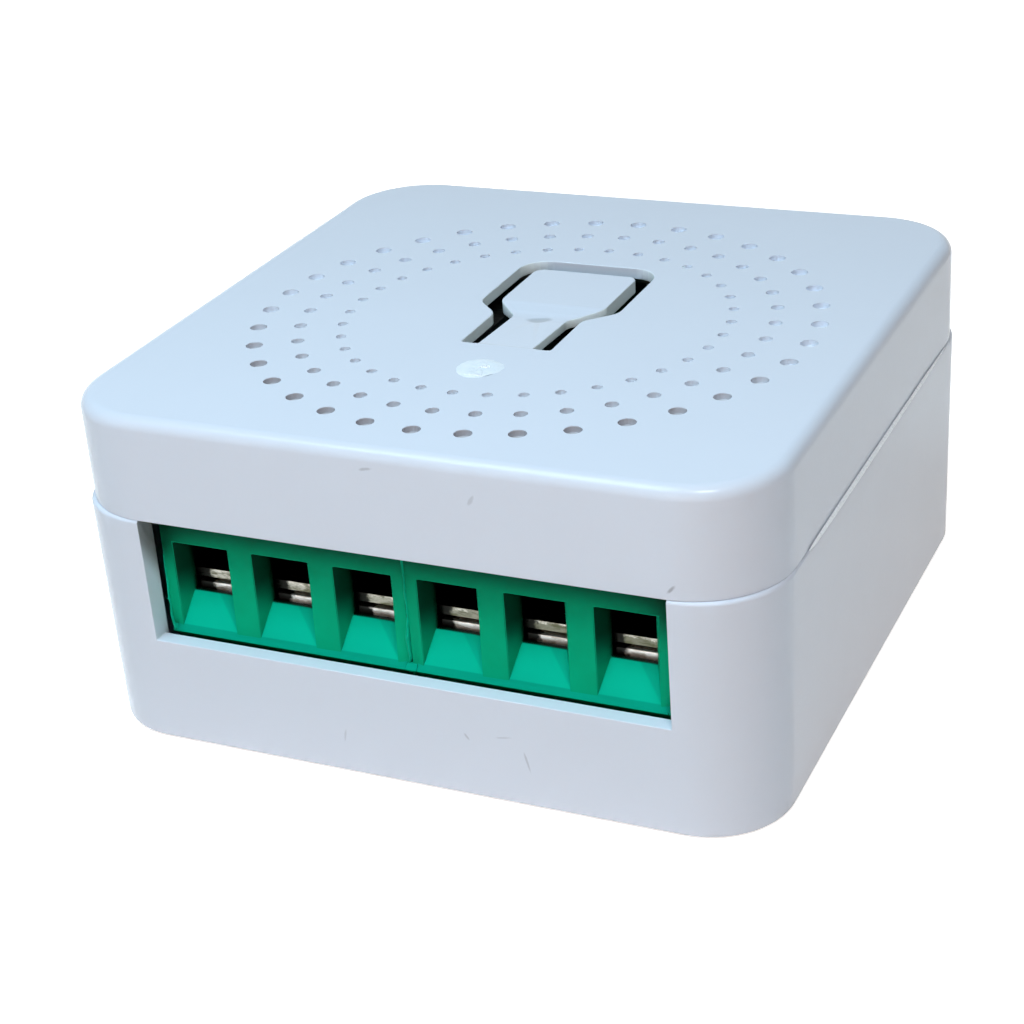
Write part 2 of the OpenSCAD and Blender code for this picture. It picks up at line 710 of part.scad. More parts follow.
// Leads from inside a part, up through the board
module leads(places, drop) {
    for (p = places)
        translate([p[0], p[1], base_h - drop]) cylinder(r = lead_r, h = drop + board_t + lead_out);
}

// Puts a part on the underside of the board, hanging down
module under_board(at, height) {
    translate([at[0], at[1], base_h - height]) children();
}

module relay_case() {
    color("RoyalBlue")
        under_board(relay_at, header_t + relay_h)
            rounded_block([relay_size[0], relay_size[1], relay_h], part_r);
}

module relay_header() {
    color("DimGray") {
        under_board(relay_at, header_t)
            rounded_block([relay_size[0] - 2 * header_step, relay_size[1] - 2 * header_step, header_t],
                          part_r);
        leads(relay_pins, header_t / 2);
    }
}

module radio_board() {
    color("MidnightBlue")
        translate([radio_at[0], radio_at[1], board_top])
            difference() {
                rounded_block(radio_size, part_r);
                for (s = [-1, 1], n = [-3:3])
                    translate([s * radio_size[0] / 2, n * pad_pitch, -lap])
                        cylinder(r = pad_notch_r, h = radio_size[2] + 2 * lap);
            }
}

module radio_shield() {
    color("Silver")
        translate([radio_at[0], radio_at[1] - radio_size[1] / 2 + shield_size[1] / 2 + part_gap,
                   board_top + radio_size[2]])
            difference() {
                rounded_block(shield_size, part_r);
                translate([0, 0, -lap])
                    rounded_block([shield_size[0] - 2 * shield_t, shield_size[1] - 2 * shield_t,
                                   shield_size[2] - shield_t + lap], part_r - shield_t);
            }
}

module push_switch_case() {
    color("DimGray")
        translate([button_x, post_y, board_top])
            difference() {
                rounded_block([switch_w, switch_w, switch_h], part_r);
                translate([0, 0, switch_h - well_d]) cylinder(r = plunger_r + plunger_gap, h = well_d + lap);
            }
}

module push_switch_plunger() {
    color("Black")
        translate([button_x, post_y, plunger_top - plunger_h - plunger_in])
            cylinder(r = plunger_r, h = plunger_h + plunger_in);
}

module indicator_lamp() {
    color("LightCyan")
        translate([lamp_at[0], lamp_at[1], board_top]) {
            rounded_block([lamp_size[0], lamp_size[1], lamp_size[2] - lens_h], chip_r);
            cylinder(r = lamp_size[1] / 2 - lens_step, h = lamp_size[2]);
        }
}

// Electrolytic can with a crimped neck, hanging from its leads
module capacitor(at, pins, r, length) {
    under_board(at, length)
        rotate_extrude()
            difference() {
                square([r, length]);
                translate([r + crimp_r / 2, length - crimp_drop]) circle(crimp_r);
            }
    leads(pins, crimp_r);
}

module bulk_capacitor() {
    color("DarkSlateGray") capacitor(bulk_at, bulk_pins, bulk_r, bulk_l);
}

module output_capacitor() {
    color("MidnightBlue") capacitor(output_at, output_pins, output_r, output_l);
}

// Drum core with its winding between two flanges
module inductor() {
    waist = coil_r - flange_step;
    color("SaddleBrown") {
        under_board(coil_at, coil_l)
            rotate_extrude()
                polygon([[0, 0], [coil_r, 0], [coil_r, flange_t], [waist, flange_t],
                         [waist, coil_l - flange_t], [coil_r, coil_l - flange_t],
                         [coil_r, coil_l], [0, coil_l]]);
        leads(coil_pins, flange_t);
    }
}

module varistor() {
    color("SteelBlue") {
        translate([varistor_at[0] - varistor_t / 2, varistor_at[1], base_h - part_gap - varistor_r])
            rotate([0, 90, 0]) cylinder(r = varistor_r, h = varistor_t);
        leads(varistor_pins, varistor_r);
    }
}

module fuse_resistor() {
    waist = fuse_r - cap_step;
    cap_end = cap_l + 2 * cap_step;
    axis_z = base_h - part_gap / 2 - fuse_r;
    color("SeaGreen") {
        translate([fuse_at[0] - fuse_l / 2, fuse_at[1], axis_z])
            rotate([0, 90, 0]) rotate_extrude()
                polygon([[0, 0], [fuse_r, 0], [fuse_r, cap_l], [waist, cap_end], [waist, fuse_l - cap_end],
                         [fuse_r, fuse_l - cap_l], [fuse_r, fuse_l], [0, fuse_l]]);
        translate([fuse_pins[0][0], fuse_at[1], axis_z])
            rotate([0, 90, 0]) cylinder(r = lead_r, h = fuse_pins[1][0] - fuse_pins[0][0]);
        leads(fuse_pins, part_gap / 2 + fuse_r);
    }
}

// Moulded chip on bent legs, on the underside of the board
module chip(at, size, legs) {
    side = size[1] / 2;
    mid = size[2] / 2;
    bend = side + leg_out / 2;
    toe = side + leg_out;
    under_board(at, size[2]) {
        rounded_block([size[0], size[1], size[2] - chip_stand], chip_r);
        for (n = [0:legs - 1], s = [-1, 1])
            translate([(n - (legs - 1) / 2) * size[0] / legs, 0, 0])
                across(leg_w)
                    polygon([[s * (side - lap), mid], [s * bend, mid], [s * bend, size[2] - leg_t],
                             [s * toe, size[2] - leg_t], [s * toe, size[2]], [s * (bend - leg_t), size[2]],
                             [s * (bend - leg_t), mid + leg_t], [s * (side - lap), mid + leg_t]]);
    }
}

module bridge_rectifier() {
    color("DimGray") chip(rectifier_at, rectifier_size, 2);
}

module supply_chip() {
    color("Black") chip(chip_at, chip_size, 4);
}

module voltage_regulator() {
    color("DimGray") chip(regulator_at, regulator_size, 3);
}

module optocouplers() {
    color("Ivory")
        for (at = opto_at)
            chip(at, opto_size, 2);
}

base_shell();
top_cover();
button_tongue();
terminal_block(-1);  // left_terminal_block
terminal_block(1);  // right_terminal_block
terminal_contacts();
circuit_board();
relay_case();
relay_header();
radio_board();
radio_shield();
push_switch_case();
push_switch_plunger();
indicator_lamp();
bulk_capacitor();
output_capacitor();
inductor();
varistor();
fuse_resistor();
bridge_rectifier();
supply_chip();
voltage_regulator();
optocouplers();
for (i = [1:poles])
    clamp_screw(i);
for (i = [1:poles])
    wire_cage(i);
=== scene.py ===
"""Finish and studio for the smart relay module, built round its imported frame. Metres throughout."""
import json
import math

import bmesh
import bpy
from mathutils import Matrix, Quaternion, Vector, noise


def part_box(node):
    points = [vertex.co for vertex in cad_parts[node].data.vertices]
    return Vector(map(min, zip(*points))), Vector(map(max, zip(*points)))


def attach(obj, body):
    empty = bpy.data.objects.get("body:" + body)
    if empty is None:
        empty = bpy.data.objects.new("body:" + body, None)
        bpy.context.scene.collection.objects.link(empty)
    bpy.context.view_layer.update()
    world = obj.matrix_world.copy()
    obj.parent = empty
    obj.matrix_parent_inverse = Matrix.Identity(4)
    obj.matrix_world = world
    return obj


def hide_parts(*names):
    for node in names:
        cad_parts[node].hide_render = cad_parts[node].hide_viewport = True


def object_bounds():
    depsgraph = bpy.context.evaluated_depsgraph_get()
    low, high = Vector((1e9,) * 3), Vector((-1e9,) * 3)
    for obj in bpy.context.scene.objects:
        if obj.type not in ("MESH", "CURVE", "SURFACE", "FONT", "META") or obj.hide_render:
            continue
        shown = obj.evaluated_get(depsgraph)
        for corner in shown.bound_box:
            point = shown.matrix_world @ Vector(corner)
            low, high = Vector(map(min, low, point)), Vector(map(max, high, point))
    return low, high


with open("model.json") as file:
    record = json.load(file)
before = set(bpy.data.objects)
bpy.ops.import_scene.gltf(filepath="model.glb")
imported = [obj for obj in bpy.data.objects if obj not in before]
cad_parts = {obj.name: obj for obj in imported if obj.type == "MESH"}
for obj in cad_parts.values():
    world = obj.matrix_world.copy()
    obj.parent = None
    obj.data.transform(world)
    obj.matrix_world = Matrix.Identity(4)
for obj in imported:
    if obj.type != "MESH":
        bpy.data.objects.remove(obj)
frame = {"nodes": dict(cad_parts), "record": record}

cad_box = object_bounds()
scene = bpy.context.scene
nodes_of_frame = frame["nodes"]
MM = 0.001
POLES = 6
PITCH = 5.08 * MM

# Camera, from the photograph's vanishing lines and the terminals' spacing
CAMERA_PLACE = Vector((50.31, -108.57, 66.19)) * MM
CAMERA_AZIMUTH = math.radians(25.99)
CAMERA_ELEVATION = math.radians(26.28)
CAMERA_ROLL = math.radians(-4.37)
CAMERA_LENS = 76.48

# Places that the finish needs, read from the frame
base_low, base_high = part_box("base_shell")
left_low, left_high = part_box("left_terminal_block")
right_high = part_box("right_terminal_block")[1]
tongue_low, tongue_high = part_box("button_tongue")
TOP_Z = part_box("top_cover")[1].z
SPLIT_Z = base_high.z
FRONT_Y = base_low.y
HINGE_Y = tongue_low.y
CAGE_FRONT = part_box("wire_cage_1")[0].y
# Middle of the rings of dots
ROSETTE = Vector((0.57, -1.3, 0.0)) * MM
# Lip along the foot of the green blocks: how far it stands out, and its height
LIP_OUT = 0.2 * MM
LIP_TOP = 7.02 * MM
LIP_FOOT = 6.59 * MM
BLOCK_FACE = left_low.y + LIP_OUT


# Shader helpers

class Shader:
    """One material or group under construction: makes nodes and joins their sockets."""

    def __init__(self, tree):
        self.tree = tree

    def node(self, kind, **settings):
        made = self.tree.nodes.new(kind)
        for key, value in settings.items():
            setattr(made, key, value)
        return made

    def feed(self, socket, value):
        if isinstance(value, bpy.types.NodeSocket):
            self.tree.links.new(value, socket)
        else:
            socket.default_value = value

    def math(self, operation, a, b=0.0, c=0.0):
        made = self.node("ShaderNodeMath", operation=operation)
        for socket, value in zip(made.inputs, (a, b, c)):
            self.feed(socket, value)
        return made.outputs[0]

    def product(self, value, *others):
        for other in others:
            value = self.math("MULTIPLY", value, other)
        return value

    def less(self, share):
        """What a share leaves of 1."""
        return self.math("SUBTRACT", 1.0, share)

    def between(self, value, low, high):
        """1 where the value lies between two limits, else 0."""
        return self.product(self.math("GREATER_THAN", value, low), self.math("LESS_THAN", value, high))

    def noise(self, vector, scale, detail=2.0, rough=0.5):
        made = self.node("ShaderNodeTexNoise")
        self.feed(made.inputs["Vector"], vector)
        self.feed(made.inputs["Scale"], scale)
        self.feed(made.inputs["Detail"], detail)
        self.feed(made.inputs["Roughness"], rough)
        return made.outputs["Fac"]

    def ragged(self, vector, scale, detail, amount):
        """Noise about zero, which makes a mark's edge ragged."""
        return self.math("MULTIPLY", self.math("SUBTRACT", self.noise(vector, scale, detail), 0.5), amount)

    def span(self, value, low, high, to_low=0.0, to_high=1.0):
        made = self.node("ShaderNodeMapRange")
        made.interpolation_type = "SMOOTHSTEP"
        for key, amount in (("Value", value), ("From Min", low), ("From Max", high),
                            ("To Min", to_low), ("To Max", to_high)):
            self.feed(made.inputs[key], amount)
        return made.outputs["Result"]

    def mix(self, share, first, second, kind="RGBA"):
        """Colour, or number of kind FLOAT, that runs from the first to the second as the share grows."""
        made = self.node("ShaderNodeMix", data_type=kind)
        self.feed(made.inputs["Factor"], share)
        self.feed(made.inputs["A"], first)
        self.feed(made.inputs["B"], second)
        return made.outputs["Result"]

    def group(self, group, **values):
        made = self.node("ShaderNodeGroup")
        made.node_tree = group
        for key, value in values.items():
            self.feed(made.inputs[key.replace("_", " ")], value)
        return made.outputs

    def place(self):
        return self.node("ShaderNodeTexCoord").outputs["Object"]

    def parts(self, vector):
        """X, Y and Z of a vector."""
        made = self.node("ShaderNodeSeparateXYZ")
        self.feed(made.inputs[0], vector)
        return made.outputs

    def facing(self):
        """X, Y and Z of the direction in which a face points."""
        return self.parts(self.node("ShaderNodeNewGeometry").outputs["True Normal"])

    def stretched(self, vector, scale):
        made = self.node("ShaderNodeMapping")
        made.inputs["Scale"].default_value = scale
        self.feed(made.inputs["Vector"], vector)
        return made.outputs["Vector"]

    def length(self, vector):
        made = self.node("ShaderNodeVectorMath", operation="LENGTH")
        self.feed(made.inputs[0], vector)
        return made.outputs["Value"]

    def oval(self, place, middle, turn, halves):
        """Distance from the middle of a turned oval, which is 1 on its outline."""
        made = self.node("ShaderNodeMapping", vector_type="TEXTURE")
        made.inputs["Location"].default_value = middle
        made.inputs["Rotation"].default_value = turn
        made.inputs["Scale"].default_value = halves
        self.feed(made.inputs["Vector"], place)
        return self.length(made.outputs["Vector"])

    def bump(self, height, depth):
        made = self.node("ShaderNodeBump")
        made.inputs["Strength"].default_value = 1.0
        made.inputs["Distance"].default_value = depth
        self.feed(made.inputs["Height"], height)
        return made.outputs["Normal"]


def node_group(name, inputs, outputs):
    tree = bpy.data.node_groups.new(name, "ShaderNodeTree")
    for key, kind in inputs:
        tree.interface.new_socket(name=key, in_out="INPUT", socket_type=kind)
    for key, kind in outputs:
        tree.interface.new_socket(name=key, in_out="OUTPUT", socket_type=kind)
    shader = Shader(tree)
    return tree, shader, shader.node("NodeGroupInput").outputs, shader.node("NodeGroupOutput").inputs


def material(name):
    """A new material, the helper that adds nodes to it, and the inputs of its Principled shader."""
    made = bpy.data.materials.new(name)
    made.use_nodes = True
    return made, Shader(made.node_tree), made.node_tree.nodes["Principled BSDF"].inputs


# Effects that several finishes share

def moulded_skin_group():
    """Fine pebble of a moulded surface, and the slow cloudiness of its colour."""
    tree, shader, given, out = node_group(
        "moulded_skin",
        [("Vector", "NodeSocketVector"), ("Pebble Scale", "NodeSocketFloat"),
         ("Cloud Scale", "NodeSocketFloat")],
        [("Pebble", "NodeSocketFloat"), ("Cloud", "NodeSocketFloat")])
    shader.feed(out["Pebble"], shader.noise(given["Vector"], given["Pebble Scale"], 3.0, 0.55))
    shader.feed(out["Cloud"], shader.noise(given["Vector"], given["Cloud Scale"], 3.0, 0.6))
    return tree


# How far the drawn grain and the dull spots of the metal are stretched along a strip, and the spots' scale
GRAIN_STRETCH = (0.08, 1.0, 1.0)
SPOT_STRETCH = (0.3, 1.0, 1.0)
SPOT_SCALE = 3600.0


def worn_metal_group():
    """Drawn grain along one direction, with small dull spots."""
    tree, shader, given, out = node_group(
        "worn_metal",
        [("Vector", "NodeSocketVector"), ("Grain Scale", "NodeSocketFloat")],
        [("Grain", "NodeSocketFloat"), ("Dull", "NodeSocketFloat")])
    drawn = shader.stretched(given["Vector"], GRAIN_STRETCH)
    spots = shader.noise(shader.stretched(given["Vector"], SPOT_STRETCH), SPOT_SCALE, 3.0, 0.6)
    shader.feed(out["Grain"], shader.noise(drawn, given["Grain Scale"], 4.0, 0.6))
    shader.feed(out["Dull"], shader.span(spots, 0.42, 0.62))
    return tree


moulded_skin = moulded_skin_group()
worn_metal = worn_metal_group()

# White plastic: its two tones, its scuffs' grey, and painted light and shade in the dots, dish, slot and jamb
WHITE_TONES = ((0.698, 0.728, 0.809, 1.0), (0.710, 0.740, 0.821, 1.0))
# Painted light that cancels the dots' shade, and painted shade in the front dots
DOT_LIGHT = (0.94, 0.96, 1.0, 1.0)
DOT_SHADE = (0.24, 0.19, 0.19, 1.0)
# Painted shade of the dish in the tongue's neck
DISH_SHADE_GREY = (0.28, 0.31, 0.34, 1.0)
SCUFF_GREY = (0.20, 0.19, 0.21, 1.0)
# Painted light on the slot's upright walls, then the painted shade under the slot and on the jamb
SLOT_WALL_LIGHT = (0.93, 1.0, 1.0, 1.0)
UNLIT_BROWN = (0.16, 0.145, 0.125, 1.0)
WHITE_PEBBLE = 0.0035 * MM
# Scuffs in millimetres and degrees: place across and up the front, half length, half width, turn, darkness
SCUFFS = (
    (-0.75, 19.2, 0.42, 0.10, 12, 0.34),
    (5.15, 18.2, 0.32, 0.13, 60, 0.26),
    (-3.85, 2.5, 0.45, 0.07, 78, 0.24),
    (3.7, 3.85, 0.26, 0.09, -55, 0.32),
    (5.9, 4.2, 0.5, 0.06, 10, 0.2),
    (7.2, 2.85, 0.75, 0.07, -76, 0.32),
    (15.8, 14.75, 0.35, 0.12, 50, 0.55),
)
SCUFF_DEPTH = 0.6
# Rings of dots: the distances from their middle between which they lie, and the depth that counts as a dot
RINGS_INSIDE = 10.7 * MM
RINGS_OUTSIDE = 17.3 * MM
DOT_DEPTH = 0.6 * MM
# Painted shade of the dish in the tongue's neck: its middle, turn and half sizes
DISH_PLACE = (0.70 * MM, -1.25 * MM, TOP_Z)
DISH_TURN = (0.0, 0.0, math.radians(14.0))
DISH_HALVES = (0.85 * MM, 0.46 * MM, 3.0 * MM)
# Left jamb of the terminals' opening: the limits of its face, the heights of its shade, and the shade's lean
JAMB_X = -15.0 * MM
JAMB_Y = -18.5 * MM
JAMB_SHADE = (11.3 * MM, 13.6 * MM)
JAMB_LEAN = 1.6
# Box round the tongue that holds the slot's walls, and the cover's thickness there
SLOT_BORDER = 2.5 * MM
SLOT_LOW = SPLIT_Z + 0.5 * MM
SLOT_THICK = 1.12 * MM


def scuff_mask(shader, place):
    """Short broken streaks on the front faces, each an oval round its own centre."""
    total = 0.0
    ragged = shader.ragged(place, 2400.0, 3.0, 1.3)
    for across, up, length, width, turn, dark in SCUFFS:
        reach = shader.oval(place, (across * MM, FRONT_Y, up * MM), (0.0, math.radians(-turn), 0.0),
                            (length * MM, SCUFF_DEPTH * MM, width * MM))
        shade = shader.span(shader.math("ADD", reach, ragged), 1.15, 0.35, 0.0, dark)
        total = shader.math("MAXIMUM", total, shade)
    return total


def dot_light_and_shade(shader, place):
    """Painted light in the dots against their shade, most at the front, and painted shade in the front dots,
    most in the outer ring.
    """
    x, y, z = shader.parts(place)
    away_x = shader.math("SUBTRACT", x, ROSETTE.x)
    away_y = shader.math("SUBTRACT", y, ROSETTE.y)
    squares = shader.math("ADD", shader.product(away_x, away_x), shader.product(away_y, away_y))
    reach = shader.math("SQRT", squares)
    sunk = shader.product(shader.span(z, TOP_Z - 0.02 * MM, TOP_Z - 0.06 * MM),
                          shader.math("GREATER_THAN", z, TOP_Z - DOT_DEPTH))
    inside = shader.product(shader.between(reach, RINGS_INSIDE, RINGS_OUTSIDE), sunk)
    lit_share = shader.product(inside, shader.span(away_y, -12.0 * MM, 12.0 * MM, 0.45, 0.08))
    outer = shader.span(reach, 11.0 * MM, 17.0 * MM, 0.2, 0.62)
    front = shader.span(away_y, 4.0 * MM, -14.0 * MM)
    return lit_share, shader.product(inside, outer, front)


def jamb_shade(shader, spot, face):
    """Shade on the upper part of the opening's left jamb, lower towards the back."""
    jamb = shader.product(shader.math("GREATER_THAN", face["X"], 0.7),
                          shader.math("LESS_THAN", spot["X"], JAMB_X),
                          shader.math("LESS_THAN", spot["Y"], JAMB_Y))
    back = shader.math("MULTIPLY", shader.math("SUBTRACT", spot["Y"], FRONT_Y), JAMB_LEAN)
    return shader.product(jamb, shader.span(shader.math("ADD", spot["Z"], back), *JAMB_SHADE, 0.0, 0.8))


def slot_light_and_shade(shader, spot, face):
    """Where painted light goes on the slot's upright walls, and the painted shade on the cover's inside below
    them.
    """
    near = shader.product(shader.math("GREATER_THAN", spot["Z"], SLOT_LOW),
                          shader.between(spot["X"], tongue_low.x - SLOT_BORDER, tongue_high.x + SLOT_BORDER),
                          shader.between(spot["Y"], tongue_low.y - SLOT_BORDER, tongue_high.y + SLOT_BORDER))
    upright = shader.math("LESS_THAN", shader.math("ABSOLUTE", face["Z"]), 0.5)
    wall = shader.product(near, upright, shader.math("ABSOLUTE", face["X"]))
    return wall, shader.product(near, shader.math("LESS_THAN", spot["Z"], TOP_Z - SLOT_THICK), 0.9)


def white_plastic():
    made, shader, skin = material("white_plastic")
    place = shader.place()
    surface = shader.group(moulded_skin, Vector=place, Pebble_Scale=5200.0, Cloud_Scale=140.0)
    tone = shader.mix(shader.span(surface["Cloud"], 0.1, 0.9), *WHITE_TONES)
    # Painted light in the dots, and painted shade in the front ones
    dot_light_share, dot_shade_share = dot_light_and_shade(shader, place)
    pale = shader.mix(dot_light_share, tone, DOT_LIGHT)
    dotted = shader.mix(dot_shade_share, pale, DOT_SHADE)
    # Painted shade of the dish
    dish_shade = shader.span(shader.oval(place, DISH_PLACE, DISH_TURN, DISH_HALVES), 1.1, 0.55, 0.0, 0.55)
    dished = shader.mix(dish_shade, dotted, DISH_SHADE_GREY)
    scuffed = shader.mix(scuff_mask(shader, place), dished, SCUFF_GREY)
    spot = shader.parts(place)
    face = shader.facing()
    # Painted light on the slot's walls, and painted shade under the slot and on the jamb
    slot_light, under = slot_light_and_shade(shader, spot, face)
    hidden = shader.math("MAXIMUM", jamb_shade(shader, spot, face), under)
    lighter = shader.mix(slot_light, scuffed, SLOT_WALL_LIGHT)
    shader.feed(skin["Base Color"], shader.mix(hidden, lighter, UNLIT_BROWN))
    shader.feed(skin["Roughness"], shader.span(surface["Cloud"], 0.1, 0.9, 0.15, 0.21))
    shader.feed(skin["Normal"], shader.bump(surface["Pebble"], WHITE_PEBBLE))
    skin["IOR"].default_value = 1.49
    skin["Specular IOR Level"].default_value = 0.225
    return made


# Green plastic: its two tones, painted light on the ramps, dust, and painted shade below the lip and in the
# deepest places
GREEN_TONES = ((0.0, 0.358, 0.176, 1.0), (0.0, 0.396, 0.200, 1.0))
# Painted light on the ramps, which face up
RAMP_LIT_GREEN = (0.0, 0.545, 0.35, 1.0)
DUST_GREEN = (0.0, 0.56, 0.36, 1.0)
# Colours of painted shade below the lip and in the deepest places
LIP_SHADE_GREEN = (0.0, 0.22, 0.10, 1.0)
DEEP_SHADE_GREEN = (0.0, 0.004, 0.001, 1.0)
GREEN_PEBBLE = 0.006 * MM
# How far the shade in the holes reaches
HOLE_REACH = 4.0 * MM
# Heights between which shade grows: on the front, on the funnels' left walls, under the cover, under the lip
FRONT_SHADE = (10.2 * MM, 12.2 * MM)
WALL_SHADE = (8.0 * MM, 10.6 * MM)
COVER_SHADE = (11.8 * MM, 13.6 * MM)
LIP_SHADE = (6.66 * MM, 6.58 * MM)
# Edge of the right wall's shadow on a ramp: place at the foot from the pole's middle, slant and half blur
SHADOW_FOOT = -1.75 * MM
SHADOW_SLANT = 0.78
SHADOW_BLUR = 0.12 * MM


def pole_place(shader, x):
    """Count of pitches from the terminals' middle, and the share of a pitch from the pole's own middle."""
    turns = shader.math("DIVIDE", x, PITCH)
    return turns, shader.math("SUBTRACT", shader.math("FRACT", turns), 0.5)


def ramp_shade(shader, spot, ramp):
    """Share of shade on the ramps: the right wall's slanting shadow in each funnel, and the lip below."""
    local = shader.math("MULTIPLY", pole_place(shader, spot["X"])[1], PITCH)
    climb = shader.math("SUBTRACT", spot["Z"], LIP_TOP)
    edge = shader.math("MULTIPLY_ADD", climb, SHADOW_SLANT, SHADOW_FOOT)
    past = shader.span(shader.math("ADD", local, edge), -SHADOW_BLUR, SHADOW_BLUR, 0.0, 0.17)
    lip = shader.span(climb, 0.03 * MM, -0.04 * MM, 0.0, 0.24)
    return shader.math("MULTIPLY", ramp, shader.math("MAXIMUM", past, lip))


def block_light(shader, spot, ramp, face):
    """Share of painted light on the blocks, the rest painted shade: less in holes, under the cover, on left
    walls, in ramps' shadow.
    """
    hollow = shader.node("ShaderNodeAmbientOcclusion", samples=16)
    hollow.inputs["Distance"].default_value = HOLE_REACH
    open_share = hollow.outputs["AO"]
    front = shader.span(face["Y"], -0.94, -0.98)
    upper_front = shader.product(front, shader.span(spot["Z"], *FRONT_SHADE))
    front_light = shader.span(open_share, 0.62, 0.93, 0.22, 1.0)
    left_wall = shader.span(face["X"], 0.3, 0.6)
    wall_light = shader.span(spot["Z"], *WALL_SHADE, 0.75, 0.10)
    under_cover = shader.product(front, shader.span(spot["Z"], *COVER_SHADE, 0.0, 0.66))
    return shader.product(shader.span(open_share, 0.30, 0.56),
                          shader.mix(upper_front, 1.0, front_light, "FLOAT"),
                          shader.mix(left_wall, 1.0, wall_light, "FLOAT"),
                          shader.less(ramp_shade(shader, spot, ramp)),
                          shader.less(under_cover))


def green_plastic():
    made, shader, skin = material("green_plastic")
    place = shader.place()
    surface = shader.group(moulded_skin, Vector=place, Pebble_Scale=3800.0, Cloud_Scale=420.0)
    tone = shader.mix(shader.span(surface["Cloud"], 0.3, 0.7), *GREEN_TONES)
    face = shader.facing()
    spot = shader.parts(place)
    ramp = shader.span(face["Z"], 0.12, 0.40)
    # Painted light on faces that look up
    ramp_lit = shader.mix(ramp, tone, RAMP_LIT_GREEN)
    dust = shader.span(shader.noise(place, 3300.0, 2.0), 0.72, 0.78, 0.0, 0.14)
    dusty = shader.mix(dust, ramp_lit, DUST_GREEN)
    # Painted shade: near black in the deep places, dark green below the lip
    shade_green = shader.mix(shader.span(spot["Z"], *LIP_SHADE), DEEP_SHADE_GREEN, LIP_SHADE_GREEN)
    shader.feed(skin["Base Color"], shader.mix(block_light(shader, spot, ramp, face), shade_green, dusty))
    shader.feed(skin["Roughness"], shader.span(surface["Cloud"], 0.25, 0.75, 0.44, 0.58))
    shader.feed(skin["Normal"], shader.bump(surface["Pebble"], GREEN_PEBBLE))
    skin["Specular IOR Level"].default_value = 0.04
    return made


# Metal: the colours of its painted dark shade and its painted olive shade and green reflection, and the
# height of its grain
METAL_SHADE_DARK = (0.012, 0.012, 0.010, 1.0)
JAW_OLIVE_SHADE = (0.085, 0.085, 0.05, 1.0)
METAL_GRAIN = 0.006 * MM
# Painted dark shade on the metal: how it blurs at its edge, creeps from pole to pole, and grows behind the
# cages' front
METAL_SHADE_BLUR = 0.35 * MM
METAL_SHADE_CREEP = 0.012
METAL_SHADE_DEPTH = (CAGE_FRONT + 0.25 * MM, CAGE_FRONT + 0.8 * MM)
# Painted olive shade and green reflection on the jaws: the heights between which it starts, and the poles'
# places over which it grows
JAW_SHADE = (10.0 * MM, 9.86 * MM)
JAW_POLES = (-16.0 * MM, 12.0 * MM)


def metal_shade(shader, place, edge):
    """Painted shade and dark reflection on the left side of each pole's metal, and painted shade on the parts
    deep in the block.
    """
    spot = shader.parts(place)
    turns, local = pole_place(shader, spot["X"])
    ragged = shader.math("ADD", local, shader.ragged(place, 2600.0, 3.0, 0.16))
    crept = shader.math("ADD", ragged, shader.math("MULTIPLY", turns, METAL_SHADE_CREEP))
    left = shader.span(crept, edge / PITCH, (edge - METAL_SHADE_BLUR) / PITCH)
    return shader.math("MAXIMUM", left, shader.span(spot["Y"], *METAL_SHADE_DEPTH))


def shaded_jaw(shader, place):
    """Painted olive shade and green reflection under the jaws' upper edges, more of it on the poles to the
    right.
    """
    spot = shader.parts(place)
    height = shader.math("ADD", spot["Z"], shader.ragged(place, 5200.0, 2.0, 0.5 * MM))
    return shader.product(shader.span(height, *JAW_SHADE), shader.span(spot["X"], *JAW_POLES, 0.25, 0.85))


def plated_metal(name, bright, dull, low, high, grain_scale, edge=None, jaw=False, metal=1.0):
    """Plated strip or turned metal, with painted shade where an edge or a jaw is named."""
    made, shader, skin = material(name)
    place = shader.place()
    surface = shader.group(worn_metal, Vector=place, Grain_Scale=grain_scale)
    colour = shader.mix(surface["Dull"], bright, dull)
    # Painted olive shade and green reflection on the jaws
    if jaw:
        colour = shader.mix(shaded_jaw(shader, place), colour, JAW_OLIVE_SHADE)
    # Painted shade and dark reflection on each pole's left side and deep in the block
    if edge is not None:
        colour = shader.mix(metal_shade(shader, place, edge), colour, METAL_SHADE_DARK)
    shader.feed(skin["Base Color"], colour)
    shader.feed(skin["Roughness"], shader.span(surface["Grain"], 0.3, 0.7, low, high))
    shader.feed(skin["Normal"], shader.bump(surface["Grain"], METAL_GRAIN))
    skin["Metallic"].default_value = metal
    return made


def plain_part(name, first, second, rough, scale=900.0, depth=0.006 * MM, specular=0.4):
    """Moulded, lacquered or coated part with two near tones."""
    made, shader, skin = material(name)
    surface = shader.group(moulded_skin, Vector=shader.place(), Pebble_Scale=scale * 4, Cloud_Scale=scale)
    cloud = shader.span(surface["Cloud"], 0.3, 0.7)
    shader.feed(skin["Base Color"], shader.mix(cloud, first, second))
    shader.feed(skin["Roughness"], shader.span(surface["Pebble"], 0.3, 0.7, rough - 0.06, rough + 0.06))
    shader.feed(skin["Normal"], shader.bump(surface["Pebble"], depth))
    skin["Specular IOR Level"].default_value = specular
    return made


